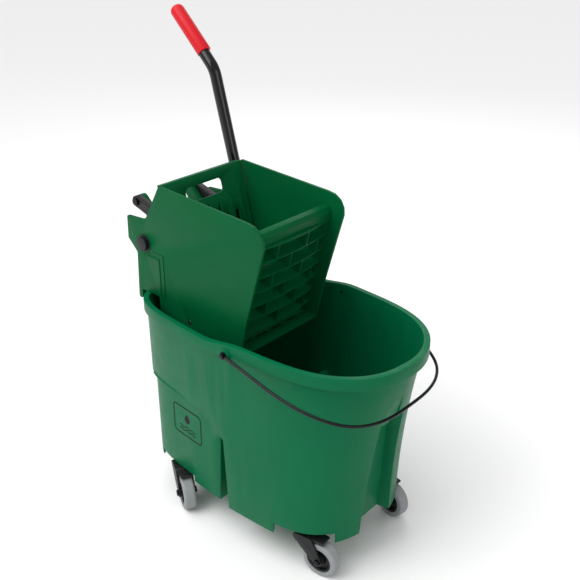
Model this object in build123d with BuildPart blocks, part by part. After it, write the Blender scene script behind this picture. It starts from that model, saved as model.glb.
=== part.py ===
"""Wheeled mop bucket with a side-press wringer standing on its rim.

Frame: millimetres, +Z up, the floor at Z = 0. +X points to the deep round end of the bucket,
-X to the wringer end. Y = 0 is the plane of symmetry of bucket and wringer.
"""
import os
from math import cos, hypot, radians, sin

from build123d import *

os.makedirs("parts", exist_ok=True)

# ---------------------------------------------------------------- driving dimensions
TUB_X = 96.7            # the bucket's reference line (near the bail) ahead of the part's origin

RIM_FRONT_Z = 472.0     # top of the rim round the deep end
RIM_REAR_Z = 459.0      # top of the rim under the wringer
RIM_STEP = (-80.0, 25.0)  # the rim climbs from rear to front height between these X
LIP_HEIGHT = 24.0
LIP_OVERHANG = 6.0
DRAFT = 1.5             # how much the sides lean in from lip to foot
NOSE_PULL = 54.0        # how far the nose draws back at the foot
NOSE_PULL_MID = 30.0
MID_Z = 330.0
WALL = 4.0
FOOT_Z = 76.0           # underside of the skirts
FLOOR_TOP_Z = 110.0     # inside bottom of the bucket
FLOOR_THICK = 5.0
ARCH_REAR_Z = 91.0
ARCH_FRONT_Z = 100.0
ARCH_R = 62.0
LEDGE_Z = 292.0         # shelf where the rear pods step in
POD_STEP = 7.0
SLIT_X = -38.0
SLIT_TOP_Z = 244.0
SLIT_DEPTH_Y = 104.0    # the slits reach in to this half width
RECESS_TOP_Z = 336.0

WHEEL_R = 38.1
TYRE_W = 25.0
TRAIL = 40.0            # from swivel axis to wheel axle
CROWN_TOP_Z = 88.0      # top of the caster fork
STEM_R = 5.5
SOCKET_R = 7.5
SOCKET_TOP_Z = 142.0
AXLE_R = 4.0
RUNNING = 0.05          # radial clearance of running fits

BAIL_PIVOT = (-7.0, 450.0)
BAIL_WIRE_R = 3.0
BAIL_DROOP = 12.5       # degrees below level at rest
BAIL_EYE_Y = 182.0
BAIL_EYE_R = 7.0
BAIL_PIN_R = 3.0

WRINGER_HALF = 114.0    # outer face of the side walls
WRINGER_WALL = 5.0
SEAT_GAP = 0.3          # the wringer stands this far above the rim
SHAFT = (-297.0, 569.0)  # cross shaft axis
SHAFT_R = 10.0
BUSH_R = 15.0
CRANK_PIN = (-358.0, 633.0)
PIN_R = 5.0
LINK_FRONT = (-231.1, 595.7)
PLATE_PIVOT = (-173.0, 430.0)
PLATE_LEAN = 14.04      # degrees back from upright at rest
PLATE_LENGTH = 281.0
PLATE_HALF = 105.0
PLATE_T = 5.0
ROD_R = 5.0
SIEVE_FOOT = (-49.0, 436.0)
SIEVE_LEAN = 14.3       # degrees forward of upright
SIEVE_DEPTH = 30.0
SIEVE_BACK = 3.0
ROW_PITCH = 33.7
ROWS = 6
RIB = 3.0
HANDLE_Y = 158.0
TUBE_R = 12.7
TUBE_BORE = 11.0
GRIP_R = 15.5


# ---------------------------------------------------------------- helpers
def level(z):
    """Horizontal plane at height z, measured from the bucket's reference line."""
    return Plane(origin=(TUB_X, 0, z))


def upright(y):
    """Upright plane at Y = y that faces -Y: local x runs forward, local y runs up."""
    return Plane(origin=(TUB_X, y, 0), x_dir=(1, 0, 0), z_dir=(0, -1, 0))


def across(xz, half, radius):
    """Round bar lying across the bucket at (x, z), from -half to +half."""
    with BuildPart() as bar:
        with BuildSketch(upright(half)):
            with Locations(xz):
                Circle(radius)
        extrude(amount=2 * half)
    return bar.part


def bar_between(xz, y_from, y_to, radius):
    """Round bar at (x, z) between two Y values, y_from below y_to."""
    with BuildPart() as bar:
        with BuildSketch(upright(y_to)):
            with Locations(xz):
                Circle(radius)
        extrude(amount=y_to - y_from)
    return bar.part


def slab(points, y_from, y_to, radius=None):
    """Plate cut to an outline of (x, z) points between two Y values; radius rounds its corners."""
    with BuildPart() as plate:
        with BuildSketch(upright(y_to)):
            with BuildLine():
                if radius:
                    FilletPolyline(*points, radius=radius, close=True)
                else:
                    Polyline(*points, close=True)
            make_face()
        extrude(amount=y_to - y_from)
    return plate.part


def save(builder, name):
    """Label a finished piece and write it as its own file."""
    builder.part.label = name
    export_step(builder.part, f"parts/{name}.step")


# ---------------------------------------------------------------- bucket tub
# Half outline of the rim's outer edge, from the round nose to the middle of the rear wall.
RIM_HALF = [
    (288, 0), (277, 63), (240, 116), (186, 149), (128, 164), (56, 171), (-20, 175),
    (-100, 174), (-171, 169), (-244, 158), (-293, 130), (-309, 84), (-311, 0),
]


def inset_half(distance, nose_pull):
    """Rim half outline moved inward by distance; nose_pull also draws the front end back."""
    moved = []
    last = len(RIM_HALF) - 1
    for i, (x, y) in enumerate(RIM_HALF):
        x0, y0 = RIM_HALF[max(i - 1, 0)]
        x1, y1 = RIM_HALF[min(i + 1, last)]
        if i == 0:
            x0, y0 = x1, -y1
        if i == last:
            x1, y1 = x0, -y0
        tx, ty = x1 - x0, y1 - y0
        size = hypot(tx, ty)
        share = max(0.0, (x - 40.0) / 248.0)
        moved.append((x - ty / size * distance - nose_pull * share ** 1.5, y + tx / size * distance))
    moved[0] = (moved[0][0], 0)
    moved[last] = (moved[last][0], 0)
    return moved


def tapered(*sections):
    """Solid lofted upward through rim outlines given as (height, inset, nose pull)."""
    with BuildPart() as solid:
        for z, distance, pull in sections:
            half = inset_half(distance, pull)
            with BuildSketch(level(z)):
                with BuildLine():
                    Spline(half + [(x, -y) for x, y in reversed(half[1:-1])], periodic=True)
                make_face()
        loft()
    return solid.part


def rim_zone(drop, top):
    """Full-width zone from a parallel below the rim line up to the height top."""
    low, high = RIM_REAR_Z - drop, RIM_FRONT_Z - drop
    x0, x1 = RIM_STEP
    with BuildPart() as zone:
        with BuildSketch(upright(0)):
            with BuildLine():
                Line((-400, low), (x0, low))
                Spline((x0, low), (x1, high), tangents=[(1, 0), (1, 0)])
                Polyline((x1, high), (400, high), (400, top), (-400, top), (-400, low))
            make_face()
        extrude(amount=260, both=True)
    return zone.part


def slit(grow):
    """Pair of deep upright slits in the sides, widening downward; grow thickens them all round."""
    shoulder = SLIT_TOP_Z - 8
    half = 7 + grow
    with BuildPart() as cut:
        for side in (-1, 1):
            with BuildSketch(upright(side * (SLIT_DEPTH_Y - grow))):
                with BuildLine():
                    Polyline((SLIT_X - 18 - grow, 40), (SLIT_X - half, shoulder))
                    ThreePointArc((SLIT_X - half, shoulder), (SLIT_X, SLIT_TOP_Z + grow), (SLIT_X + half, shoulder))
                    Polyline((SLIT_X + half, shoulder), (SLIT_X + 18 + grow, 40), (SLIT_X - 18 - grow, 40))
                make_face()
            extrude(amount=-side * 110)
    return cut.part


def front_recess(grow):
    """Tapering recess up the middle of the nose, with splayed side walls."""
    with BuildPart() as cut:
        for z, half, back in ((40.0, 54.0, 193.0), (RECESS_TOP_Z + grow, 36.0, 222.0)):
            with BuildSketch(level(z)):
                with BuildLine():
                    Polyline((back - grow, 10 - half - grow), (back - grow, half - 10 + grow),
                             (330, half + 26 + grow), (330, -half - 26 - grow), close=True)
                make_face()
        loft()
    return cut.part


def nose_groove():
    """Shallow upright groove between the recess and the rim band."""
    with BuildPart() as cut:
        for z, back in ((RECESS_TOP_Z - 20, 243.0), (RIM_FRONT_Z - LIP_HEIGHT, 277.0)):
            with BuildSketch(level(z)):
                with Locations((back + 20, 0)):
                    Rectangle(40, 28)
        loft()
    return cut.part


# Caster places: wheel centre x, wheel centre y, heading of the trail in degrees.
CASTERS = {
    "front_left": (184.0, 117.0, -8.0),
    "front_right": (184.0, -117.0, 8.0),
    "rear_left": (-161.0, 161.0, 28.0),
    "rear_right": (-161.0, -161.0, -28.0),
}


def stem_place(name):
    """X and Y of a caster's swivel axis, from the bucket's reference line."""
    x, y, heading = CASTERS[name]
    return x - TRAIL * cos(radians(heading)), y - TRAIL * sin(radians(heading))


def post(xy, z_from, z_to, radius):
    """Upright round post at (x, y) between two heights."""
    with BuildPart() as solid:
        with BuildSketch(level(z_from)):
            with Locations(xy):
                Circle(radius)
        extrude(amount=z_to - z_from)
    return solid.part


STEMS = {name: stem_place(name) for name in CASTERS}
FOOT_INSET = LIP_OVERHANG + DRAFT
shell_outer = tapered((FOOT_Z, FOOT_INSET, NOSE_PULL), (MID_Z, FOOT_INSET - 0.5, NOSE_PULL_MID),
                      (RIM_FRONT_Z + 8, LIP_OVERHANG, 0))
lip_band = tapered((RIM_REAR_Z - 40, 0, 0), (RIM_FRONT_Z + 8, 0, 0)) & rim_zone(LIP_HEIGHT, RIM_FRONT_Z + 8)
pod_core = tapered((FOOT_Z - 20, FOOT_INSET + POD_STEP, NOSE_PULL), (LEDGE_Z + 20, FOOT_INSET + POD_STEP, 32))
pod_zone = slab([(-400, FOOT_Z - 12), (-400, LEDGE_Z + 4), (-103, LEDGE_Z - 8), (-62, LEDGE_Z - 18),
                 (-45, LEDGE_Z - 34), (SLIT_X, SLIT_TOP_Z), (SLIT_X, FOOT_Z - 12)], -260, 260)
pod_cut = pod_zone - pod_core
CAVITY_LOW = FOOT_INSET + POD_STEP + WALL
cavity = tapered((FOOT_Z, CAVITY_LOW, NOSE_PULL), (MID_Z, CAVITY_LOW - 1, NOSE_PULL_MID),
                 (RIM_FRONT_Z + 8, LIP_OVERHANG + WALL, 0))
below_floor = slab([(-400, 0), (-400, FLOOR_TOP_Z), (400, FLOOR_TOP_Z), (400, 0)], -260, 260)
underside = tapered((FOOT_Z - 12, CAVITY_LOW, NOSE_PULL), (FLOOR_TOP_Z - FLOOR_THICK, CAVITY_LOW, NOSE_PULL))
slit_wall = slit(WALL)
recess_wall = front_recess(WALL)
slit_void = slit(0)
recess_void = front_recess(0)
groove = nose_groove()
above_rim = rim_zone(0, RIM_FRONT_Z + 60)
arches, mounts, bosses, sockets = [], [], [], []
for stem_x, stem_y in STEMS.values():
    arch_z = ARCH_FRONT_Z if stem_x > 0 else ARCH_REAR_Z
    arches.append(post((stem_x, stem_y), FOOT_Z - 20, arch_z, ARCH_R))
    mounts.append(post((stem_x, stem_y), arch_z, FLOOR_TOP_Z, 22))
    bosses.append(post((stem_x, stem_y), FLOOR_TOP_Z - 2, SOCKET_TOP_Z + 6, 15))
    sockets.append(post((stem_x, stem_y), FOOT_Z, SOCKET_TOP_Z, SOCKET_R))
bail_boss = [bar_between(BAIL_PIVOT, min(s * 168, s * 178.5), max(s * 168, s * 178.5), 12) for s in (-1, 1)]
bail_hole = across(BAIL_PIVOT, 200, BAIL_PIN_R)
cavity = cavity - below_floor - slit_wall - recess_wall - bosses
underside = underside - slit_wall - recess_wall - mounts

with BuildPart() as bucket_tub:
    add(shell_outer)
    add(lip_band)
    add(bail_boss)
    add(above_rim, mode=Mode.SUBTRACT)
    add(pod_cut, mode=Mode.SUBTRACT)
    add(slit_void, mode=Mode.SUBTRACT)
    add(recess_void, mode=Mode.SUBTRACT)
    add(groove, mode=Mode.SUBTRACT)
    add(arches, mode=Mode.SUBTRACT)
    add(underside, mode=Mode.SUBTRACT)
    add(cavity, mode=Mode.SUBTRACT)
    add(sockets, mode=Mode.SUBTRACT)
    add(bail_hole, mode=Mode.SUBTRACT)
save(bucket_tub, "bucket_tub")

# ---------------------------------------------------------------- bail
DROOP = radians(BAIL_DROOP)
BAIL_PLANE = Plane(origin=(TUB_X + BAIL_PIVOT[0], 0, BAIL_PIVOT[1]),
                   x_dir=(cos(DROOP), 0, -sin(DROOP)), z_dir=(sin(DROOP), 0, cos(DROOP)))
BAIL_HALF = [(5.8, 182), (110, 182.5), (162, 179), (222, 163), (266, 135), (291, 92), (301, 0)]
with BuildPart() as bail_wire:
    with BuildLine(BAIL_PLANE) as bail_path:
        Spline(*BAIL_HALF, *[(x, -y) for x, y in reversed(BAIL_HALF[:-1])])
    with BuildSketch(Plane(origin=bail_path.line @ 0, z_dir=bail_path.line % 0)):
        Circle(BAIL_WIRE_R)
    sweep()
    add(bar_between(BAIL_PIVOT, BAIL_EYE_Y - 2, BAIL_EYE_Y + 2, BAIL_EYE_R))
    add(bar_between(BAIL_PIVOT, -BAIL_EYE_Y - 2, -BAIL_EYE_Y + 2, BAIL_EYE_R))
    add(across(BAIL_PIVOT, 200, BAIL_PIN_R + RUNNING), mode=Mode.SUBTRACT)
save(bail_wire, "bail_wire")

with BuildPart() as bail_rivets:
    for s in (-1, 1):
        inner, outer, head = s * 163, s * (BAIL_EYE_Y + 2.3), s * (BAIL_EYE_Y + 5)
        add(bar_between(BAIL_PIVOT, min(inner, outer), max(inner, outer), BAIL_PIN_R))
        add(bar_between(BAIL_PIVOT, min(outer, head), max(outer, head), 5))
save(bail_rivets, "bail_rivets")

# ---------------------------------------------------------------- wringer frame
SEAT_Z = RIM_REAR_Z + SEAT_GAP
INNER = WRINGER_HALF - WRINGER_WALL
WALL_OUTLINE = [(-241, 703), (-6, 691), (12, 688), (26, 679), (34, 665), (35, 650), (-15, 478), (-31, 404),
                (-262, 404), (-262, SEAT_Z), (-317, SEAT_Z), (-317, 437), (-329, 437), (-323, 542), (-349, 567),
                (-347, 617), (-290, 621)]
PANEL_OUTLINE = [(-329, 437), (-323, 542), (-349, 567), (-347.5, 596), (-343.5, 596), (-345, 569),
                 (-319, 543.5), (-325, 437)]
side_walls = [slab(WALL_OUTLINE, -WRINGER_HALF, -INNER, 5), slab(WALL_OUTLINE, INNER, WRINGER_HALF, 5)]
rear_panel = slab(PANEL_OUTLINE, -INNER, INNER)
seat_plate = slab([(-327, SEAT_Z), (-327, SEAT_Z + 4), (-258, SEAT_Z + 4), (-258, 425), (-262, 425),
                   (-262, SEAT_Z)], -INNER, INNER)
tray = slab([(-262, 404), (-262, 408), (-30, 408), (-31, 404)], -INNER, INNER)
step_line = slab([(-276, 552), (-276, 556), (-242, 556), (-242, 464), (-246, 464), (-246, 552)],
                 -WRINGER_HALF - 1.5, WRINGER_HALF + 1.5)
step_line_low = slab([(-290, 540), (-290, 544), (-254, 544), (-254, 464), (-258, 464), (-258, 540)],
                     -WRINGER_HALF - 1.5, WRINGER_HALF + 1.5)
between_walls = slab([(-360, 400), (-360, 710), (40, 710), (40, 400)], -WRINGER_HALF + 1, WRINGER_HALF - 1)
step_marks = (step_line + step_line_low) - between_walls

with BuildPart() as wringer_body:
    add(side_walls)
    add(rear_panel)
    add(seat_plate)
    add(tray)
    add(step_marks)
    add(across(SHAFT, WRINGER_HALF + 10, BUSH_R - 1), mode=Mode.SUBTRACT)
    add(across(PLATE_PIVOT, WRINGER_HALF + 10, ROD_R), mode=Mode.SUBTRACT)
    with BuildSketch(level(400)):
        with GridLocations(32, 44, 6, 4):
            with Locations((-145, 0)):
                SlotOverall(30, 10, rotation=90)
    extrude(amount=12, mode=Mode.SUBTRACT)
save(wringer_body, "wringer_body")

# ---------------------------------------------------------------- front sieve
LEAN_S = radians(SIEVE_LEAN)
SIEVE_PLANE = Plane(origin=(TUB_X + SIEVE_FOOT[0], 0, SIEVE_FOOT[1]),
                    x_dir=(0, 1, 0), z_dir=(cos(LEAN_S), 0, -sin(LEAN_S)))
SIEVE_H = ROWS * ROW_PITCH + RIB
BOW = 8.5
CELL_DEPTH = Plane(origin=SIEVE_PLANE.origin - SIEVE_PLANE.z_dir * SIEVE_DEPTH,
                   x_dir=(0, 1, 0), z_dir=SIEVE_PLANE.z_dir)
SIEVE_PLAN = Plane(origin=SIEVE_PLANE.origin, x_dir=(0, 1, 0), z_dir=-SIEVE_PLANE.y_dir)
WEBS = [(-83, 0, 83), (-41.5, 41.5)]
EDGE = INNER - RIB


def cells(row):
    """Left and right edges of the openings in one row of the sieve."""
    webs = WEBS[row % 2]
    lefts = [-EDGE] + [w + RIB / 2 for w in webs]
    rights = [w - RIB / 2 for w in webs] + [EDGE]
    return list(zip(lefts, rights))


with BuildPart() as front_sieve:
    with BuildSketch(SIEVE_PLAN):
        with BuildLine():
            Polyline((-INNER, 0), (-INNER, -SIEVE_DEPTH - SIEVE_BACK), (INNER, -SIEVE_DEPTH - SIEVE_BACK), (INNER, 0))
            ThreePointArc((INNER, 0), (0, BOW), (-INNER, 0))
        make_face()
    extrude(amount=-SIEVE_H)
    with BuildSketch(CELL_DEPTH):
        for row in range(ROWS):
            for left, right in cells(row):
                with Locations(((left + right) / 2, row * ROW_PITCH + (ROW_PITCH + RIB) / 2)):
                    Rectangle(right - left, ROW_PITCH - RIB)
    extrude(amount=SIEVE_DEPTH + BOW + 5, mode=Mode.SUBTRACT)
    with BuildSketch(CELL_DEPTH):
        for row in range(ROWS):
            for left, right in cells(row):
                slot = min(40, right - left - 6)
                with Locations((right - slot / 2 - 3, row * ROW_PITCH + (ROW_PITCH + RIB) / 2)):
                    RectangleRounded(slot, 17, 6)
    extrude(amount=-SIEVE_BACK - 2, mode=Mode.SUBTRACT)
    add(slab([(-34, 630), (-27, 649), (-20, 659), (-8, 665), (2, 662), (6, 652), (1, 630)], -INNER, INNER))
save(front_sieve, "front_sieve")

# ---------------------------------------------------------------- press plate
LEAN_P = radians(PLATE_LEAN)
PLATE_PLANE = Plane(origin=(TUB_X + PLATE_PIVOT[0], 0, PLATE_PIVOT[1]),
                    x_dir=(0, 1, 0), z_dir=(cos(LEAN_P), 0, sin(LEAN_P)))
LUG_IN = (62.0, 65.5)
LUG_OUT = (80.5, 84.0)
lx, lz = LINK_FRONT
LUG = [(lx + 11, lz - 34), (lx - 16, lz - 16), (lx - 16, lz + 18), (lx - 4, lz + 34)]
lugs = []
for s in (-1, 1):
    for a, b in (LUG_IN, LUG_OUT):
        lugs.append(slab(LUG + [(lx + 14, lz + 30), (lx + 22, lz - 30)], min(s * a, s * b), max(s * a, s * b)))
lug_window = slab([(lx - 11.5, lz - 6.5), (lx - 11.5, lz + 12.5), (lx + 6.5, lz + 12.5), (lx + 6.5, lz - 6.5)], -90, 90, 5)

with BuildPart() as press_plate:
    with BuildSketch(PLATE_PLANE):
        with Locations((0, (PLATE_LENGTH + 4) / 2)):
            Rectangle(2 * PLATE_HALF, PLATE_LENGTH - 4)
    extrude(amount=PLATE_T / 2, both=True)
    with BuildSketch(PLATE_PLANE):
        with Locations((0, PLATE_LENGTH - 3)):
            Rectangle(2 * PLATE_HALF, 6)
    extrude(amount=-15)
    with BuildSketch(PLATE_PLANE):
        for k in range(-3, 4):
            with Locations((k * 28, 120)):
                Rectangle(3, 190)
    extrude(amount=PLATE_T / 2 + 4)
    add(across(PLATE_PIVOT, PLATE_HALF, 9))
    add(lugs)
    with BuildSketch(PLATE_PLANE):
        with Locations((-4, PLATE_LENGTH - 36)):
            RectangleRounded(100, 30, 10)
        for k in range(-3, 3):
            for j in range(4):
                with Locations((k * 28 + 14, 45 + j * 42)):
                    SlotOverall(30, 9, rotation=90)
    extrude(amount=30, both=True, mode=Mode.SUBTRACT)
    add(across(PLATE_PIVOT, PLATE_HALF + 5, ROD_R + RUNNING), mode=Mode.SUBTRACT)
    add(lug_window, mode=Mode.SUBTRACT)
save(press_plate, "press_plate")

with BuildPart() as plate_rod:
    add(across(PLATE_PIVOT, WRINGER_HALF, ROD_R))
save(plate_rod, "plate_rod")

# ---------------------------------------------------------------- cross shaft and cranks
with BuildPart() as cross_shaft:
    add(bar_between(SHAFT, -WRINGER_HALF - 4, HANDLE_Y + 18, SHAFT_R))
save(cross_shaft, "cross_shaft")

with BuildPart() as shaft_bushes:
    for s in (-1, 1):
        a, b, c = s * (INNER - 2), s * WRINGER_HALF, s * (WRINGER_HALF + 2)
        add(bar_between(SHAFT, min(a, b), max(a, b), BUSH_R - 1))
        add(bar_between(SHAFT, min(b, c), max(b, c), BUSH_R + 3))
    add(across(SHAFT, 130, SHAFT_R + RUNNING), mode=Mode.SUBTRACT)
save(shaft_bushes, "shaft_bushes")

with BuildPart() as shaft_caps:
    add(bar_between(SHAFT, -WRINGER_HALF - 10, -WRINGER_HALF - 4, 15))
    add(bar_between(SHAFT, -WRINGER_HALF - 4, -WRINGER_HALF - 2.5, 13))
    add(bar_between(SHAFT, HANDLE_Y + 18, HANDLE_Y + 24, 15))
    add(bar_between(SHAFT, -WRINGER_HALF - 4, -WRINGER_HALF - 2, SHAFT_R), mode=Mode.SUBTRACT)
save(shaft_caps, "shaft_caps")

with BuildPart() as shaft_spacer:
    add(bar_between(SHAFT, WRINGER_HALF + 2.5, HANDLE_Y - 17, 14))
    add(across(SHAFT, 180, SHAFT_R), mode=Mode.SUBTRACT)
save(shaft_spacer, "shaft_spacer")


def arm(start, end, start_r, end_r, y_from, y_to):
    """Flat arm with round ends between two (x, z) points."""
    with BuildPart() as solid:
        with BuildSketch(upright(y_to)):
            with Locations(start):
                Circle(start_r)
            with Locations(end):
                Circle(end_r)
            make_hull()
        extrude(amount=y_to - y_from)
    return solid.part


for name, s in (("left", 1), ("right", -1)):
    y0, y1 = sorted((s * 55, s * 65))
    with BuildPart() as crank_arm:
        add(arm(SHAFT, CRANK_PIN, 18, 12, y0, y1))
        add(across(SHAFT, 120, SHAFT_R), mode=Mode.SUBTRACT)
        add(across(CRANK_PIN, 120, PIN_R), mode=Mode.SUBTRACT)
    save(crank_arm, f"crank_arm_{name}")

    y0, y1 = sorted((s * 66, s * 80))
    with BuildPart() as link:
        add(arm(CRANK_PIN, LINK_FRONT, 12, 11, y0, y1))
        add(across(CRANK_PIN, 120, PIN_R + RUNNING), mode=Mode.SUBTRACT)
        add(across(LINK_FRONT, 120, 4.5), mode=Mode.SUBTRACT)
    save(link, f"link_{name}")

    y0, y1 = sorted((s * 61, s * 85))
    with BuildPart() as link_pin:
        add(bar_between(LINK_FRONT, y0, y1, 4.5))
    save(link_pin, f"link_pin_{name}")

with BuildPart() as crank_pins:
    for s in (-1, 1):
        a, b, c = s * 52, s * 80.5, s * 84
        add(bar_between(CRANK_PIN, min(a, b), max(a, b), PIN_R))
        add(bar_between(CRANK_PIN, min(b, c), max(b, c), 8))
save(crank_pins, "crank_pins")

# ---------------------------------------------------------------- handle
TUBE_LOW = (-290.5, 600.0)
TUBE_BEND = (-362.0, 864.0)
GRIP_FOOT = (-391.0, 896.0)
GRIP_END = (-477.0, 980.0)
SOCKET_LOW = (-286.5, 585.0)
SOCKET_HIGH = (-304.0, 650.0)


def along(start, end, radius):
    """Round bar between two (x, z) points in the handle's plane."""
    with BuildPart() as bar:
        with BuildSketch(Plane(origin=(TUB_X + start[0], HANDLE_Y, start[1]),
                               z_dir=(end[0] - start[0], 0, end[1] - start[1]))):
            Circle(radius)
        extrude(amount=hypot(end[0] - start[0], end[1] - start[1]))
    return bar.part


def tube_solid(radius):
    """Bent round bar following the handle from its socket to the grip's end."""
    with BuildPart() as bar:
        with BuildLine(upright(HANDLE_Y)) as path:
            FilletPolyline(TUBE_LOW, TUBE_BEND, (GRIP_END[0] + 7, GRIP_END[1] - 7), radius=60)
        with BuildSketch(Plane(origin=path.line @ 0, z_dir=path.line % 0)):
            Circle(radius)
        sweep()
    return bar.part


tube_outer = tube_solid(TUBE_R)
tube_inner = tube_solid(TUBE_BORE)
handle_bolt_bar = bar_between((-299.5, 633.0), HANDLE_Y - 21, HANDLE_Y + 21, 3)

with BuildPart() as handle_tube:
    add(tube_outer)
    add(tube_inner, mode=Mode.SUBTRACT)
    add(handle_bolt_bar, mode=Mode.SUBTRACT)
save(handle_tube, "handle_tube")

with BuildPart() as handle_grip:
    with BuildSketch(Plane(origin=(TUB_X + GRIP_FOOT[0], HANDLE_Y, GRIP_FOOT[1]),
                           z_dir=(GRIP_END[0] - GRIP_FOOT[0], 0, GRIP_END[1] - GRIP_FOOT[1]))):
        Circle(GRIP_R)
    extrude(amount=hypot(GRIP_END[0] - GRIP_FOOT[0], GRIP_END[1] - GRIP_FOOT[1]))
    fillet(handle_grip.faces().sort_by(Axis.Z)[-1].edges(), 11)
    add(tube_outer, mode=Mode.SUBTRACT)
save(handle_grip, "handle_grip")

with BuildPart() as handle_hub:
    add(bar_between(SHAFT, HANDLE_Y - 17, HANDLE_Y + 17, 20))
    add(along(SOCKET_LOW, SOCKET_HIGH, 17.5))
    add(tube_outer, mode=Mode.SUBTRACT)
    add(across(SHAFT, 200, SHAFT_R), mode=Mode.SUBTRACT)
    add(handle_bolt_bar, mode=Mode.SUBTRACT)
save(handle_hub, "handle_hub")

with BuildPart() as handle_bolt:
    add(handle_bolt_bar)
    add(bar_between((-299.5, 633.0), HANDLE_Y + 18, HANDLE_Y + 22, 6))
    add(bar_between((-299.5, 633.0), HANDLE_Y - 22, HANDLE_Y - 18, 6))
save(handle_bolt, "handle_bolt")

# ---------------------------------------------------------------- casters
STEM_TOP_Z = SOCKET_TOP_Z - 4
HUB_HALF = 13.0
CHEEK_IN = 14.0
CHEEK_OUT = 18.0

for name, (axle_x, axle_y, heading) in CASTERS.items():
    stem_x, stem_y = STEMS[name]
    turn = radians(heading)
    forward = (cos(turn), sin(turn), 0)
    sideways = Plane(origin=(TUB_X + axle_x, axle_y, 0), x_dir=forward, z_dir=(sin(turn), -cos(turn), 0))
    flat = Plane(origin=(TUB_X + stem_x, stem_y, 0), x_dir=forward, z_dir=(0, 0, 1))

    with BuildPart() as socket:
        add(post((stem_x, stem_y), (ARCH_FRONT_Z if stem_x > 0 else ARCH_REAR_Z), SOCKET_TOP_Z, SOCKET_R))
        add(post((stem_x, stem_y), FOOT_Z, STEM_TOP_Z + 1, STEM_R + RUNNING), mode=Mode.SUBTRACT)
    save(socket, f"caster_socket_{name}")

    with BuildPart() as stem:
        add(post((stem_x, stem_y), CROWN_TOP_Z - 6, STEM_TOP_Z, STEM_R))
    save(stem, f"caster_stem_{name}")

    with BuildPart() as fork:
        with BuildSketch(sideways):
            with Locations((0, WHEEL_R)):
                Circle(10)
            with Locations((-TRAIL - 10, CROWN_TOP_Z - 7), (-TRAIL + 20, CROWN_TOP_Z - 7)):
                Circle(7)
            make_hull()
        extrude(amount=CHEEK_OUT, both=True)
        with BuildSketch(sideways):
            with Locations((-TRAIL + 28, CROWN_TOP_Z - 5)):
                RectangleRounded(44, 6, 2.5)
        extrude(amount=CHEEK_IN - 1, both=True)
        with BuildSketch(sideways):
            with Locations((0, WHEEL_R)):
                Circle(WHEEL_R + 2.4)
            with BuildLine():
                Polyline((-TRAIL - 30, 10), (-TRAIL - 30, 69), (-TRAIL + 8, 69), (-TRAIL + 14, 60), (10, 20), close=True)
            make_face()
        extrude(amount=CHEEK_IN, both=True, mode=Mode.SUBTRACT)
        with BuildSketch(sideways):
            with Locations((0, WHEEL_R)):
                Circle(AXLE_R)
        extrude(amount=30, both=True, mode=Mode.SUBTRACT)
        add(post((stem_x, stem_y), CROWN_TOP_Z - 20, CROWN_TOP_Z + 5, STEM_R), mode=Mode.SUBTRACT)
    save(fork, f"caster_fork_{name}")

    with BuildPart() as axle:
        with BuildSketch(sideways):
            with Locations((0, WHEEL_R)):
                Circle(AXLE_R)
        extrude(amount=CHEEK_OUT + 1, both=True)
        with BuildSketch(sideways.offset(CHEEK_OUT)):
            with Locations((0, WHEEL_R)):
                RegularPolygon(7, 6)
        extrude(amount=4)
        with BuildSketch(sideways.offset(-CHEEK_OUT - 4)):
            with Locations((0, WHEEL_R)):
                RegularPolygon(7, 6)
        extrude(amount=4)
    save(axle, f"caster_axle_{name}")

    with BuildPart() as core:
        with BuildSketch(sideways):
            with Locations((0, WHEEL_R)):
                Circle(27)
        extrude(amount=10, both=True)
        with BuildSketch(sideways):
            with Locations((0, WHEEL_R)):
                Circle(23)
                Circle(12, mode=Mode.SUBTRACT)
        extrude(amount=20, both=True, mode=Mode.SUBTRACT)
        with BuildSketch(sideways):
            with Locations((0, WHEEL_R)):
                Circle(24)
        extrude(amount=3, both=True)
        with BuildSketch(sideways):
            with Locations((0, WHEEL_R)):
                Circle(12)
        extrude(amount=HUB_HALF, both=True)
        with BuildSketch(sideways):
            with Locations((0, WHEEL_R)):
                Circle(AXLE_R + RUNNING)
        extrude(amount=20, both=True, mode=Mode.SUBTRACT)
    save(core, f"wheel_core_{name}")

    with BuildPart() as tyre:
        with BuildSketch(sideways):
            with Locations((0, WHEEL_R)):
                Circle(WHEEL_R)
        extrude(amount=TYRE_W / 2, both=True)
        fillet(tyre.edges().filter_by(GeomType.CIRCLE), 5)
        with BuildSketch(sideways):
            with Locations((0, WHEEL_R)):
                Circle(27)
        extrude(amount=20, both=True, mode=Mode.SUBTRACT)
    save(tyre, f"tyre_{name}")
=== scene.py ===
"""A wheeled mop bucket with a side-press wringer, dressed for close viewing.

The frame's CAD pieces carry the sizes. Each visible one is given rounded edges and its own finish here.
"""
from math import cos, pi, radians, sin

import bmesh
import bpy
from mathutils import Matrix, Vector
from mathutils.bvhtree import BVHTree


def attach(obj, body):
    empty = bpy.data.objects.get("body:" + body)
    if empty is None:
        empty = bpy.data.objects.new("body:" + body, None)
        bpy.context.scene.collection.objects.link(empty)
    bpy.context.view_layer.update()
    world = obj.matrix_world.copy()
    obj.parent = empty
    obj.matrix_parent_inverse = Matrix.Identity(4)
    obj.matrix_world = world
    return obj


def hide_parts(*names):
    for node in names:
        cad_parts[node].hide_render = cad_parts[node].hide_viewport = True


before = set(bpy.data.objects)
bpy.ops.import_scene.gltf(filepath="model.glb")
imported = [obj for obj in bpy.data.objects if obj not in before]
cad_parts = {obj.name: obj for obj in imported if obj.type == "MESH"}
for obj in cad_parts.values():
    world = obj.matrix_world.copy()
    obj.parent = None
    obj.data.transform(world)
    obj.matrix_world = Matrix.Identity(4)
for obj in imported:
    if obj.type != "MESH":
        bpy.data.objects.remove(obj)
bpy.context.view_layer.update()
SHIFT = 0.0967          # the bucket's reference line ahead of the frame's origin, in metres

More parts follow.
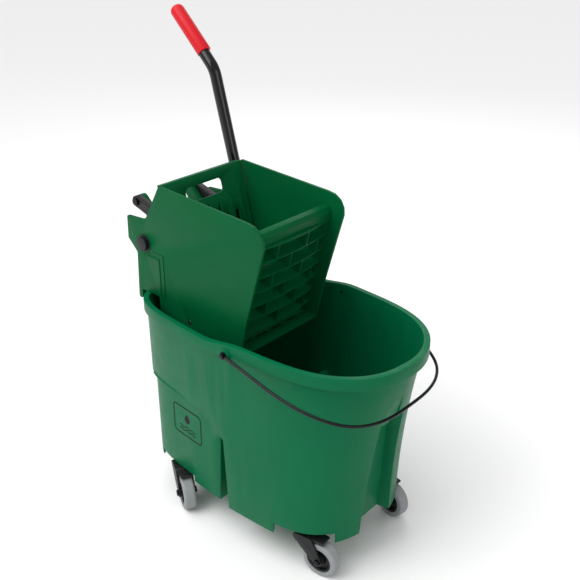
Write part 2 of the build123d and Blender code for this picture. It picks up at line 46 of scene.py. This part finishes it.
# ---------------------------------------------------------------- bucket
# One injection-moulded polypropylene tub with a rolled rim, deep side slits and a recessed nose.
# Every edge has the small radius that the mould leaves, and the skin is satin with a faint orange peel.


def linear(hex_code):
    """sRGB hex to linear RGBA."""
    channels = [int(hex_code[i:i + 2], 16) / 255 for i in (1, 3, 5)]
    return [c / 12.92 if c <= 0.04045 else ((c + 0.055) / 1.055) ** 2.4 for c in channels] + [1.0]


def node(tree, kind, settings=None, **sockets):
    """Adds a shader or geometry node. A socket's value is a number, a colour or another node's output."""
    made = tree.nodes.new(kind)
    for name, value in (settings or {}).items():
        setattr(made, name, value)
    for name, value in sockets.items():
        key = int(name[1:]) if name[0] == "_" and name[1:].isdigit() else name.replace("_", " ")
        socket = made.inputs[key]
        if isinstance(value, bpy.types.NodeSocket):
            tree.links.new(value, socket)
        else:
            socket.default_value = value
    return made


def material(name, **base):
    """An empty material with one Principled shader; returns the material, its tree and the shader."""
    made = bpy.data.materials.new(name)
    made.use_nodes = True
    tree = made.node_tree
    shader = tree.nodes["Principled BSDF"]
    for key, value in base.items():
        shader.inputs[key.replace("_", " ")].default_value = value
    return made, tree, shader


def moulded_plastic(name, body, deep, roughness, peel_mm=1.6, peel_height=0.00006, scuff=0.0, gloss=0.5):
    """Injection-moulded plastic: slow colour drift from the melt, orange peel, and rubbed patches."""
    made, tree, shader = material(name, IOR=1.49)
    shader.inputs["Specular IOR Level"].default_value = gloss
    place = node(tree, "ShaderNodeTexCoord").outputs["Object"]
    drift = node(tree, "ShaderNodeTexNoise", Vector=place, Scale=7.0, Detail=3.0)
    tint = node(tree, "ShaderNodeMix", {"data_type": "RGBA"},
                Factor=drift.outputs["Fac"], _6=linear(deep), _7=linear(body))
    wear = node(tree, "ShaderNodeTexNoise", Vector=place, Scale=42.0, Detail=6.0, Roughness=0.65)
    rub = node(tree, "ShaderNodeMapRange", Value=wear.outputs["Fac"])
    rub.inputs["From Min"].default_value = 0.35
    rub.inputs["From Max"].default_value = 0.75
    rub.inputs["To Min"].default_value = roughness - 0.05
    rub.inputs["To Max"].default_value = roughness + 0.07
    peel = node(tree, "ShaderNodeTexNoise", Vector=place, Scale=1000.0 / peel_mm / 2, Detail=2.0)
    bump = node(tree, "ShaderNodeBump", Height=peel.outputs["Fac"], Strength=0.35, Distance=peel_height)
    colour = tint.outputs[2]
    if scuff:
        streak = node(tree, "ShaderNodeMapping", Vector=place, Scale=(60.0, 60.0, 400.0))
        lines = node(tree, "ShaderNodeTexNoise", Vector=streak.outputs["Vector"], Scale=1.0, Detail=4.0)
        gate = node(tree, "ShaderNodeMapRange", Value=lines.outputs["Fac"])
        gate.inputs["From Min"].default_value = 0.66
        gate.inputs["From Max"].default_value = 0.80
        gate.inputs["To Max"].default_value = scuff
        mixed = node(tree, "ShaderNodeMix", {"data_type": "RGBA"},
                     Factor=gate.outputs["Result"], _6=colour, _7=linear("#7FC9A4"))
        colour = mixed.outputs[2]
    tree.links.new(colour, shader.inputs["Base Color"])
    tree.links.new(rub.outputs["Result"], shader.inputs["Roughness"])
    tree.links.new(bump.outputs["Normal"], shader.inputs["Normal"])
    return made


WELD = 0.00002          # points closer than this, in metres, are one point
ROUNDED_FROM = 28       # edges that turn by more degrees than this get the mould's radius
CREASE_FROM = 40        # edges that turn by more degrees than this stay sharp to the light


def rounded_copy(cad_name, edge_mm, finish, body, segments=3):
    """A copy of a CAD node whose sharp edges get a small radius; it stands for the node."""
    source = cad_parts[cad_name]
    mesh = source.data.copy()
    made = bpy.data.objects.new(cad_name + "_rounded", mesh)
    bpy.context.scene.collection.objects.link(made)
    shell = bmesh.new()
    shell.from_mesh(mesh)
    bmesh.ops.remove_doubles(shell, verts=shell.verts, dist=WELD)
    bmesh.ops.dissolve_degenerate(shell, edges=shell.edges, dist=WELD)
    bmesh.ops.dissolve_limit(shell, angle_limit=radians(0.6), verts=shell.verts, edges=shell.edges)
    shell.to_mesh(mesh)
    shell.free()
    if edge_mm:
        bevel = made.modifiers.new("edge radius", "BEVEL")
        bevel.width = edge_mm / 1000
        bevel.segments = segments
        bevel.limit_method = "ANGLE"
        bevel.angle_limit = radians(ROUNDED_FROM)
        bevel.miter_outer = "MITER_ARC"
        flat = bpy.data.meshes.new_from_object(made.evaluated_get(bpy.context.evaluated_depsgraph_get()))
        made.modifiers.clear()
        made.data = mesh = flat
    for face in mesh.polygons:
        face.use_smooth = True
    mesh.set_sharp_from_angle(angle=radians(CREASE_FROM))
    mesh.materials.clear()
    mesh.materials.append(finish)
    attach(made, body)
    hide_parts(cad_name)
    return made


# Satin green polypropylene: soft broad highlights, a little lighter where it is rubbed.
TUB_GREEN = moulded_plastic("green polypropylene, moulded satin", "#026A43", "#015E3B", 0.38,
                            scuff=0.03, gloss=0.10)
tub = rounded_copy("bucket_tub", 2.2, TUB_GREEN, "tub")

# ---------------------------------------------------------------- floor waves
# Low rounded ridges moulded on the inside bottom break the slosh of the water.
# They are half-sunk round bars that follow a shallow wave from side to side.
RIDGE_RADIUS, RIDGE_LEVEL, RIDGE_SWAY = 0.006, 0.1115, 0.010
RIDGE_STARTS = (0.030, 0.078, 0.126, -0.115, -0.165, -0.215)
LONG_REACH, SHORT_REACH = 0.118, 0.105     # half a ridge's length; the two end ridges are shorter
ridge_paths = bpy.data.meshes.new("ridge paths")
ridge_points, ridge_edges = [], []
for start_x in RIDGE_STARTS:
    first = len(ridge_points)
    reach = SHORT_REACH if start_x in (max(RIDGE_STARTS), min(RIDGE_STARTS)) else LONG_REACH
    for i in range(33):
        y = -reach + 2 * reach * i / 32
        ridge_points.append((start_x + SHIFT + RIDGE_SWAY * cos(y / reach * 2 * pi), y, RIDGE_LEVEL))
        if i:
            ridge_edges.append((first + i - 1, first + i))
ridge_paths.from_pydata(ridge_points, ridge_edges, [])
bar_tree = bpy.data.node_groups.new("round bars along paths", "GeometryNodeTree")
bar_tree.interface.new_socket("Geometry", in_out="INPUT", socket_type="NodeSocketGeometry")
bar_tree.interface.new_socket("Bar radius", in_out="INPUT", socket_type="NodeSocketFloat")
bar_tree.interface.new_socket("Finish", in_out="INPUT", socket_type="NodeSocketMaterial")
bar_tree.interface.new_socket("Geometry", in_out="OUTPUT", socket_type="NodeSocketGeometry")
given = node(bar_tree, "NodeGroupInput")
paths = node(bar_tree, "GeometryNodeMeshToCurve", Mesh=given.outputs["Geometry"])
ring = node(bar_tree, "GeometryNodeCurvePrimitiveCircle", Resolution=16, Radius=given.outputs["Bar radius"])
bars = node(bar_tree, "GeometryNodeCurveToMesh",
            Curve=paths.outputs["Curve"], Profile_Curve=ring.outputs["Curve"], Fill_Caps=True)
smooth = node(bar_tree, "GeometryNodeSetShadeSmooth", Geometry=bars.outputs["Mesh"])
real = node(bar_tree, "GeometryNodeRealizeInstances", Geometry=smooth.outputs["Geometry"])
dressed = node(bar_tree, "GeometryNodeSetMaterial",
               Geometry=real.outputs["Geometry"], Material=given.outputs["Finish"])
node(bar_tree, "NodeGroupOutput", Geometry=dressed.outputs["Geometry"])
sockets = {s.name: s.identifier for s in bar_tree.interface.items_tree if s.in_out == "INPUT"}


def round_bars(name, paths_mesh, radius, finish, body):
    """Sweeps a round bar along every path of the mesh; the result is a plain mesh that rides the body."""
    made = bpy.data.objects.new(name, paths_mesh)
    bpy.context.scene.collection.objects.link(made)
    sweep = made.modifiers.new("sweep", "NODES")
    sweep.node_group = bar_tree
    sweep[sockets["Bar radius"]] = radius
    sweep[sockets["Finish"]] = finish
    flat = bpy.data.meshes.new_from_object(made.evaluated_get(bpy.context.evaluated_depsgraph_get()))
    made.modifiers.clear()
    made.data = flat
    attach(made, body)
    return made


round_bars("floor_waves", ridge_paths, RIDGE_RADIUS, TUB_GREEN, "tub")

# ---------------------------------------------------------------- shelf bead
# The top edge of each rear pod ends in a small rounded bead that runs forward and sinks into the belly.
# It lies on the side of the bucket, so its path is found on the tub's own surface.
tub_surface = BVHTree.FromObject(tub, bpy.context.evaluated_depsgraph_get())
BEAD_RADIUS, BEAD_SUNK, BEAD_DIVE = 0.0028, 0.0012, 0.0024
DIVE_START, DIVE_LENGTH = -0.185, 0.072
BEAD_LINE = ((-0.262, 0.2905), (-0.200, 0.2895), (-0.130, 0.287), (-0.113, 0.285))
bead_paths = bpy.data.meshes.new("bead paths")
bead_points, bead_edges = [], []
for side in (-1, 1):
    first = len(bead_points)
    for (x0, z0), (x1, z1) in zip(BEAD_LINE, BEAD_LINE[1:]):
        for k in range(8):
            x, z = x0 + (x1 - x0) * k / 8 + SHIFT, z0 + (z1 - z0) * k / 8
            hit = tub_surface.ray_cast(Vector((x, side * 0.4, z)), Vector((0, -side, 0)))[0]
            sink = BEAD_SUNK + BEAD_DIVE * max(0.0, (x - SHIFT - DIVE_START) / DIVE_LENGTH)
            bead_points.append((x, hit.y - side * sink, z))
            if len(bead_points) - first > 1:
                bead_edges.append((len(bead_points) - 2, len(bead_points) - 1))
bead_paths.from_pydata(bead_points, bead_edges, [])
round_bars("shelf_bead", bead_paths, BEAD_RADIUS, TUB_GREEN, "tub")

# ---------------------------------------------------------------- printed mark
# A pad-printed mark on the side of each rear pod: a plain rounded frame round a water drop over two waves.
# The ink is a thin black film that follows the plastic.
INK, _, ink = material("black pad-print ink, matt film", Roughness=0.55, IOR=1.5, Specular_IOR_Level=0.15)
ink.inputs["Base Color"].default_value = linear("#0B120E")


def rounded_frame(width, height, radius, line):
    """Outer and inner loops of a rounded rectangle's outline, with close points to follow a curved side."""
    loops = []
    for grow in (0, line):
        w, h, r = width / 2 - grow, height / 2 - grow, radius - grow
        corners = []
        for corner, (cx, cy) in enumerate(((w - r, h - r), (r - w, h - r), (r - w, r - h), (w - r, r - h))):
            for k in range(9):
                a = radians(corner * 90 + k * 11.25)
                corners.append((cx + r * cos(a), cy + r * sin(a)))
        loop = []
        for i, (x0, z0) in enumerate(corners):
            x1, z1 = corners[(i + 1) % len(corners)]
            steps = 16 if i % 9 == 8 else 1
            loop += [(x0 + (x1 - x0) * k / steps, z0 + (z1 - z0) * k / steps) for k in range(steps)]
        loops.append(loop)
    return loops


def printed(name, strips, side):
    """Lays strips, each a pair of equal loops or rows of points, on the bucket's side as a thin film."""
    ink_film = bmesh.new()
    for first, second, closed in strips:
        rows = []
        for loop in (first, second):
            row = []
            for u, v in loop:
                hit = tub_surface.ray_cast(Vector((u, side * 0.4, v)), Vector((0, -side, 0)))[0]
                row.append(ink_film.verts.new((u, hit.y + side * 0.0004, v)))
            rows.append(row)
        count = len(rows[0])
        for i in range(count if closed else count - 1):
            j = (i + 1) % count
            ink_film.faces.new((rows[0][i], rows[0][j], rows[1][j], rows[1][i]))
    bmesh.ops.recalc_face_normals(ink_film, faces=ink_film.faces)
    for face in ink_film.faces:
        if face.normal.y * side < 0:
            face.normal_flip()
    mesh = bpy.data.meshes.new(name)
    ink_film.to_mesh(mesh)
    ink_film.free()
    mesh.materials.append(INK)
    made = bpy.data.objects.new(name, mesh)
    bpy.context.scene.collection.objects.link(made)
    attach(made, "tub")
    return made


FRAME_WIDTH, FRAME_HEIGHT, FRAME_CORNER, FRAME_LINE = 0.092, 0.072, 0.010, 0.0028
DROP_RADIUS, DROP_RISE = 0.0085, 0.008
WAVE_LENGTH, WAVE_HEIGHT, WAVE_LINE = 0.052, 0.0018, 0.0024
WAVE_ROWS = (-0.012, -0.020)
mark_x, mark_z = SHIFT - 0.150, 0.218
for side, label in ((-1, "right"), (1, "left")):
    outer, inner = [[(mark_x + x, mark_z + z) for x, z in loop]
                    for loop in rounded_frame(FRAME_WIDTH, FRAME_HEIGHT, FRAME_CORNER, FRAME_LINE)]
    strips = [(outer, inner, True)]
    drop_out, drop_in = [], []
    for k in range(32):
        a = 2 * pi * k / 32
        pinch = max(0.0, sin(a)) ** 3
        x = DROP_RADIUS * cos(a) * (1 - 0.75 * pinch)
        z = DROP_RADIUS * sin(a) * (1 + 0.75 * pinch)
        drop_out.append((mark_x + x, mark_z + DROP_RISE + z))
        drop_in.append((mark_x + x * 0.02, mark_z + DROP_RISE + z * 0.02))
    strips.append((drop_out, drop_in, True))
    for row in WAVE_ROWS:
        wave = [(mark_x + WAVE_LENGTH * (k / 40 - 0.5), mark_z + row + WAVE_HEIGHT * sin(k / 40 * 6 * pi))
                for k in range(41)]
        strips.append((wave, [(x, z - WAVE_LINE) for x, z in wave], False))
    printed("printed_mark_" + label, strips, side)

# ---------------------------------------------------------------- wringer
# A darker moulded frame that straddles the rear rim, with a sieve of cells in front and a hinged press plate.
# The parts are glass-filled polypropylene, a little duller than the bucket.
WRINGER_GREEN = moulded_plastic("green glass-filled polypropylene, moulded", "#005E34", "#00502B", 0.42,
                                scuff=0.02, gloss=0.10)
rounded_copy("wringer_body", 1.1, WRINGER_GREEN, "wringer")
rounded_copy("front_sieve", 0.8, WRINGER_GREEN, "wringer", segments=2)
rounded_copy("press_plate", 0.8, WRINGER_GREEN, "press_plate", segments=2)
for side in ("left", "right"):
    rounded_copy("crank_arm_" + side, 1.0, WRINGER_GREEN, "handle")

# Black nylon for what turns: self-coloured, slightly waxy, with a fine spark-eroded texture.
NYLON = moulded_plastic("black nylon, fine texture", "#1B1C1E", "#131415", 0.42,
                        peel_mm=1.0, peel_height=0.00004, gloss=0.3)
for side in ("left", "right"):
    rounded_copy("link_" + side, 1.2, NYLON, "link_" + side)
for piece in ("shaft_caps", "shaft_spacer", "handle_hub"):
    rounded_copy(piece, 1.6, NYLON, "handle")
rounded_copy("shaft_bushes", 0.6, NYLON, "wringer")

# ---------------------------------------------------------------- steel pins
# The cross shaft, the plate's rod, the handle's bolt and the link pins are turned from mild steel.
# Zinc plating leaves them bright and a little cloudy, so the roughness varies over each pin.
ZINC, zinc_tree, zinc = material("mild steel, bright zinc plate", Metallic=1.0)
zinc_place = node(zinc_tree, "ShaderNodeTexCoord").outputs["Object"]
zinc_cloud = node(zinc_tree, "ShaderNodeTexNoise", Vector=zinc_place, Scale=160.0, Detail=4.0)
zinc_tone = node(zinc_tree, "ShaderNodeMix", {"data_type": "RGBA"},
                 Factor=zinc_cloud.outputs["Fac"], _6=linear("#A9ADB2"), _7=linear("#C9CCD0"))
zinc_rough = node(zinc_tree, "ShaderNodeMapRange", Value=zinc_cloud.outputs["Fac"])
zinc_rough.inputs["To Min"].default_value = 0.22
zinc_rough.inputs["To Max"].default_value = 0.42
zinc_tree.links.new(zinc_tone.outputs[2], zinc.inputs["Base Color"])
zinc_tree.links.new(zinc_rough.outputs["Result"], zinc.inputs["Roughness"])
rounded_copy("cross_shaft", 0.8, ZINC, "handle")
rounded_copy("handle_bolt", 0.6, ZINC, "handle")
rounded_copy("plate_rod", 0.5, ZINC, "wringer")
for side in ("left", "right"):
    rounded_copy("link_pin_" + side, 0.5, ZINC, "link_" + side)

# ---------------------------------------------------------------- bail
# One bow of spring-steel wire with an eye at each end, held to the rim by two rivets.
# The steel is blackened in hot oil: dark, half-metallic, with a soft streak of light along it.
BLACKENED, wire_tree, wire = material("steel wire, oil blackened", Metallic=0.85, Roughness=0.3)
wire_place = node(wire_tree, "ShaderNodeTexCoord").outputs["Object"]
wire_grain = node(wire_tree, "ShaderNodeTexNoise", Vector=wire_place, Scale=220.0, Detail=5.0)
wire_tone = node(wire_tree, "ShaderNodeMix", {"data_type": "RGBA"},
                 Factor=wire_grain.outputs["Fac"], _6=linear("#17181A"), _7=linear("#2C2E31"))
wire_tree.links.new(wire_tone.outputs[2], wire.inputs["Base Color"])
rounded_copy("bail_wire", 0.0, BLACKENED, "bail")
rounded_copy("bail_rivets", 0.7, BLACKENED, "tub")
rounded_copy("crank_pins", 0.6, BLACKENED, "handle")

# ---------------------------------------------------------------- handle
# A bent steel tube, bolted into the hub on the cross shaft, with a red vinyl grip on its end.
# The tube is sprayed with black gloss enamel, which flows into faint long waves.
ENAMEL, enamel_tree, enamel = material("steel tube, black gloss enamel", Roughness=0.16, IOR=1.52)
enamel_place = node(enamel_tree, "ShaderNodeTexCoord").outputs["Object"]
enamel_flow = node(enamel_tree, "ShaderNodeTexNoise", Vector=enamel_place, Scale=90.0, Detail=2.0)
enamel_bump = node(enamel_tree, "ShaderNodeBump",
                   Height=enamel_flow.outputs["Fac"], Strength=0.25, Distance=0.00008)
enamel_tree.links.new(enamel_bump.outputs["Normal"], enamel.inputs["Normal"])
enamel.inputs["Base Color"].default_value = linear("#0E0E0F")
rounded_copy("handle_tube", 0.0, ENAMEL, "handle")

# Dipped vinyl: saturated red, soft sheen, slightly uneven skin.
VINYL, vinyl_tree, vinyl = material("red dipped vinyl, soft skin", Roughness=0.38, IOR=1.53)
vinyl_place = node(vinyl_tree, "ShaderNodeTexCoord").outputs["Object"]
vinyl_skin = node(vinyl_tree, "ShaderNodeTexNoise", Vector=vinyl_place, Scale=320.0, Detail=3.0)
vinyl_bump = node(vinyl_tree, "ShaderNodeBump", Height=vinyl_skin.outputs["Fac"], Strength=0.4, Distance=0.0001)
vinyl_tone = node(vinyl_tree, "ShaderNodeMix", {"data_type": "RGBA"},
                  Factor=vinyl_skin.outputs["Fac"], _6=linear("#C8121F"), _7=linear("#E01C2A"))
vinyl_tree.links.new(vinyl_tone.outputs[2], vinyl.inputs["Base Color"])
vinyl_tree.links.new(vinyl_bump.outputs["Normal"], vinyl.inputs["Normal"])
vinyl.inputs["Subsurface Weight"].default_value = 0.05
vinyl.inputs["Specular IOR Level"].default_value = 0.25
rounded_copy("handle_grip", 1.2, VINYL, "handle")

# ---------------------------------------------------------------- casters
# Four swivel casters, each with a black nylon fork and wheel centre and a non-marking grey rubber tyre.
# The stem is zinc plated, and the axle bolt is blackened.
RUBBER, rubber_tree, rubber = material("grey thermoplastic rubber, non-marking", Roughness=0.62, IOR=1.5)
rubber_place = node(rubber_tree, "ShaderNodeTexCoord").outputs["Object"]
rubber_dust = node(rubber_tree, "ShaderNodeTexNoise",
                   Vector=rubber_place, Scale=130.0, Detail=6.0, Roughness=0.7)
rubber_tone = node(rubber_tree, "ShaderNodeMix", {"data_type": "RGBA"},
                   Factor=rubber_dust.outputs["Fac"], _6=linear("#7E8183"), _7=linear("#9A9D9F"))
rubber_bump = node(rubber_tree, "ShaderNodeBump",
                   Height=rubber_dust.outputs["Fac"], Strength=0.4, Distance=0.00015)
rubber_tree.links.new(rubber_tone.outputs[2], rubber.inputs["Base Color"])
rubber_tree.links.new(rubber_bump.outputs["Normal"], rubber.inputs["Normal"])
for place in ("front_left", "front_right", "rear_left", "rear_right"):
    rounded_copy("caster_fork_" + place, 1.5, NYLON, "caster_" + place)
    rounded_copy("caster_stem_" + place, 0.8, ZINC, "caster_" + place)
    rounded_copy("caster_axle_" + place, 0.7, BLACKENED, "caster_" + place)
    rounded_copy("wheel_core_" + place, 0.7, NYLON, "wheel_" + place)
    rounded_copy("tyre_" + place, 0.0, RUBBER, "wheel_" + place)
    rounded_copy("caster_socket_" + place, 0.5, NYLON, "tub")

# ---------------------------------------------------------------- floor, light and camera
# A plain pale floor under an overhead diffuser and three softboxes, the strongest at the front left.
# The camera stands in front of the right side, about chest high, and looks down on the bucket.
PALE, _, pale = material("pale floor", Roughness=0.8)
pale.inputs["Base Color"].default_value = linear("#F9F9F9")
floor_mesh = bpy.data.meshes.new("floor")
floor_mesh.from_pydata([(-60, -60, 0), (60, -60, 0), (60, 60, 0), (-60, 60, 0)], [], [(0, 1, 2, 3)])
floor_mesh.materials.append(PALE)
floor = bpy.data.objects.new("floor", floor_mesh)
bpy.context.scene.collection.objects.link(floor)

world = bpy.data.worlds.new("studio")
world.use_nodes = True
sky = world.node_tree
seen = node(sky, "ShaderNodeLightPath")
glow = node(sky, "ShaderNodeMapRange", Value=seen.outputs["Is Camera Ray"])
glow.inputs["To Min"].default_value = 0.36
glow.inputs["To Max"].default_value = 1.0
sky.links.new(glow.outputs["Result"], sky.nodes["Background"].inputs["Strength"])
sky.nodes["Background"].inputs["Color"].default_value = linear("#FFFFFF")
bpy.context.scene.world = world
middle = Vector((SHIFT + 0.02, -0.03, 0.5))
for name, spot, size, power in (
    ("key", (-0.6, -2.0, 2.6), 1.8, 34.0),
    ("side", (2.4, -0.4, 1.6), 1.6, 12.0),
    ("back", (-1.2, 2.2, 2.2), 1.6, 14.0),
):
    lamp = bpy.data.lights.new(name, "AREA")
    lamp.size = size
    lamp.energy = power
    softbox = bpy.data.objects.new(name, lamp)
    softbox.location = spot
    softbox.rotation_euler = (middle - Vector(spot)).to_track_quat("-Z", "Y").to_euler()
    bpy.context.scene.collection.objects.link(softbox)

overcast = bpy.data.lights.new("overhead diffuser", "SUN")
overcast.energy = 1.9
overcast.angle = radians(70)
diffuser = bpy.data.objects.new("overhead diffuser", overcast)
diffuser.rotation_euler = (radians(18), radians(-12), 0)
bpy.context.scene.collection.objects.link(diffuser)

lens = bpy.data.cameras.new("camera")
lens.lens = 53.1
lens.sensor_width = 36.0
camera = bpy.data.objects.new("camera", lens)
camera.location = (0.982 + SHIFT, -1.100, 1.261)
aim = Vector((0.0233 + SHIFT, -0.0311, 0.539))
camera.rotation_euler = (aim - camera.location).to_track_quat("-Z", "Y").to_euler()
bpy.context.scene.collection.objects.link(camera)
bpy.context.scene.camera = camera
bpy.context.scene.view_settings.view_transform = "Standard"
